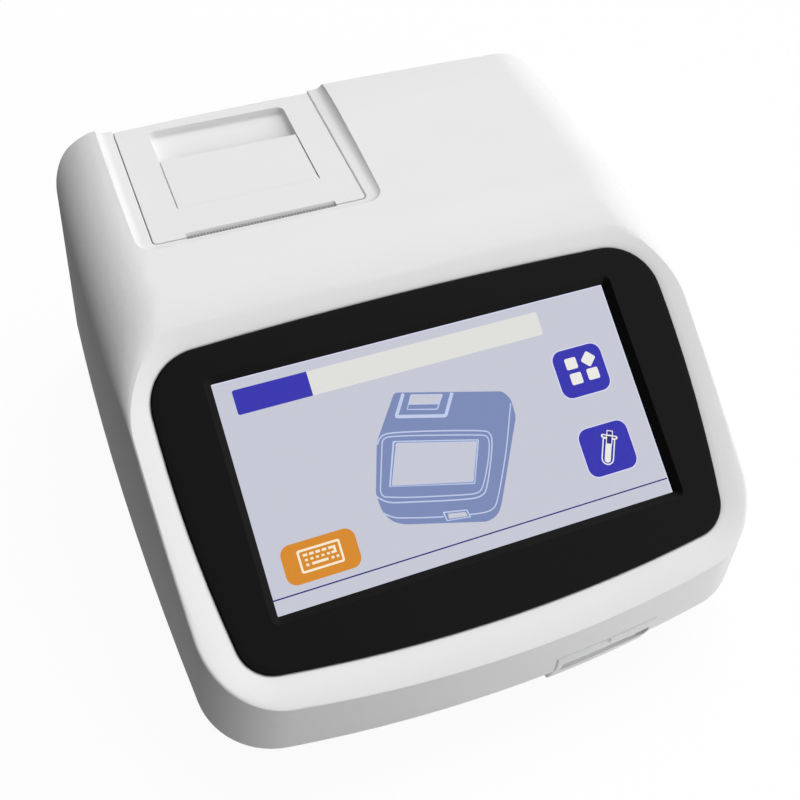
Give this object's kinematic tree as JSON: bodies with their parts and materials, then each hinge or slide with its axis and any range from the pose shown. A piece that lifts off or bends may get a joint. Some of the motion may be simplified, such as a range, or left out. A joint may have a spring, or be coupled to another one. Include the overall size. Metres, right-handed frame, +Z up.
{
  "type": "urine test strip analyzer",
  "caption": "Bench analyzer for urine test strips, with a tilted touch screen, a thermal printer under a hinged lid and a motor-driven strip tray in its front.",
  "frame": {"origin": "on the bench, under the middle of the footprint", "axes": "+X to the right seen from the front, +Y towards the back, +Z up; the strip tray opens towards -Y"},
  "size_m": [0.2308, 0.2419, 0.1198],
  "materials": {
    "white_housing": "fine satin moulded texture",
    "black_bezel": "satin black",
    "touch_glass": "clear, smooth",
    "display_case": "matt",
    "steel_sheet": "plain rolled sheet",
    "circuit_board": "solder-masked board",
    "steel_screw": "zinc plated",
    "grey_frame": "matt moulded",
    "steel_shaft": "ground and polished",
    "rubber_roller": "ground rubber",
    "white_gear": "moulded acetal",
    "motor_can": "plain can",
    "head_plate": "plain",
    "spring_steel": "bright",
    "tear_steel": "bright",
    "paper": "smooth thermal paper",
    "core_card": "plain card",
    "foot_rubber": "matt",
    "white_tray": "satin moulded",
    "grey_holder": "matt",
    "reference_white": "matt",
    "black_optics": "matt",
    "optical_glass": "clear",
    "brass_bush": "plain",
    "socket_metal": "nickel plated",
    "black_plastic": "matt"
  },
  "bodies": {
    "base": {"upper_housing": "white_housing", "lower_housing": "white_housing", "rubber_feet": "foot_rubber", "housing_screws": "steel_screw", "screen_bezel": "black_bezel", "touch_glass": "touch_glass", "display_panel": "display_case", "display_bracket": "steel_sheet", "display_board": "circuit_board", "bracket_screws": "steel_screw", "printer_frame": "grey_frame", "frame_screws": "steel_screw", "idler_post": "steel_shaft", "feed_motor": "motor_can", "print_head": "head_plate", "head_spring": "spring_steel", "tear_bar": "tear_steel", "slot_frame": "white_housing", "tray_guide": "grey_frame", "guide_screws": "steel_screw", "tray_motor": "motor_can", "optical_head": "black_optics", "optical_window": "optical_glass", "led_board": "circuit_board", "main_board": "circuit_board", "board_screws": "steel_screw", "dc_inlet": "black_plastic", "usb_socket": "socket_metal", "serial_socket": "socket_metal", "power_switch": "black_plastic", "speaker": "black_plastic"},
    "lid": {"printer_lid": "white_housing", "lid_hinge_pins": "steel_shaft", "platen_bushings": "brass_bush"},
    "lever": {"lid_lever": "white_housing", "lever_shaft": "steel_shaft", "lever_cams": "grey_frame"},
    "platen": {"platen_shaft": "steel_shaft", "platen_sleeve": "rubber_roller", "platen_gear": "white_gear"},
    "idler": {"idler_gear": "white_gear"},
    "feed_drive": {"feed_motor_shaft": "steel_shaft", "feed_gear": "white_gear"},
    "roll": {"paper_roll": "paper", "paper_core": "core_card"},
    "tray": {"strip_tray": "white_tray", "strip_holder": "grey_holder", "reference_pad": "reference_white"},
    "tray_drive": {"tray_motor_shaft": "steel_shaft", "tray_pinion": "white_gear"},
    "rocker": {"power_rocker": "black_plastic"}
  },
  "joints": [
    {"name": "lid_hinge", "type": "hinge", "parent": "base", "child": "lid", "pos_m": [-0.0406, 0.10937, 0.11013], "axis": [-1, 0, 0], "range_deg": [0, 100]},
    {"name": "lever_hinge", "type": "hinge", "parent": "lid", "child": "lever", "pos_m": [-0.0406, 0.06124, 0.11484], "axis": [1, 0, 0], "range_deg": [0, 35], "stiffness_Nm_per_rad": 0.02},
    {"name": "platen_spin", "type": "hinge", "parent": "lid", "child": "platen", "pos_m": [-0.0406, 0.0488, 0.10893], "axis": [1, 0, 0], "continuous": true},
    {"name": "idler_spin", "type": "hinge", "parent": "base", "child": "idler", "pos_m": [-0.0752, 0.05042, 0.09402], "axis": [1, 0, 0], "continuous": true},
    {"name": "feed_spin", "type": "hinge", "parent": "base", "child": "feed_drive", "pos_m": [-0.0752, 0.04038, 0.08745], "axis": [1, 0, 0], "continuous": true},
    {"name": "roll_spin", "type": "hinge", "parent": "base", "child": "roll", "pos_m": [-0.0406, 0.08055, 0.08442], "axis": [1, 0, 0], "continuous": true},
    {"name": "tray_slide", "type": "slide", "parent": "base", "child": "tray", "axis": [0, -1, 0], "range_m": [0, 0.095]},
    {"name": "tray_pinion_spin", "type": "hinge", "parent": "base", "child": "tray_drive", "pos_m": [0.06275, -0.084, 0.019], "axis": [0, 0, 1], "range_deg": [0, 682]},
    {"name": "rocker_tilt", "type": "hinge", "parent": "base", "child": "rocker", "pos_m": [0.066, 0.116, 0.042], "axis": [0, 0, -1], "range_deg": [0, 24]}
  ],
  "couplings": [
    {"joint": "idler_spin", "follows": "platen_spin", "ratio": -0.66667},
    {"joint": "feed_spin", "follows": "platen_spin", "ratio": 2},
    {"joint": "tray_pinion_spin", "follows": "tray_slide", "rad_per_m": 125}
  ]
}
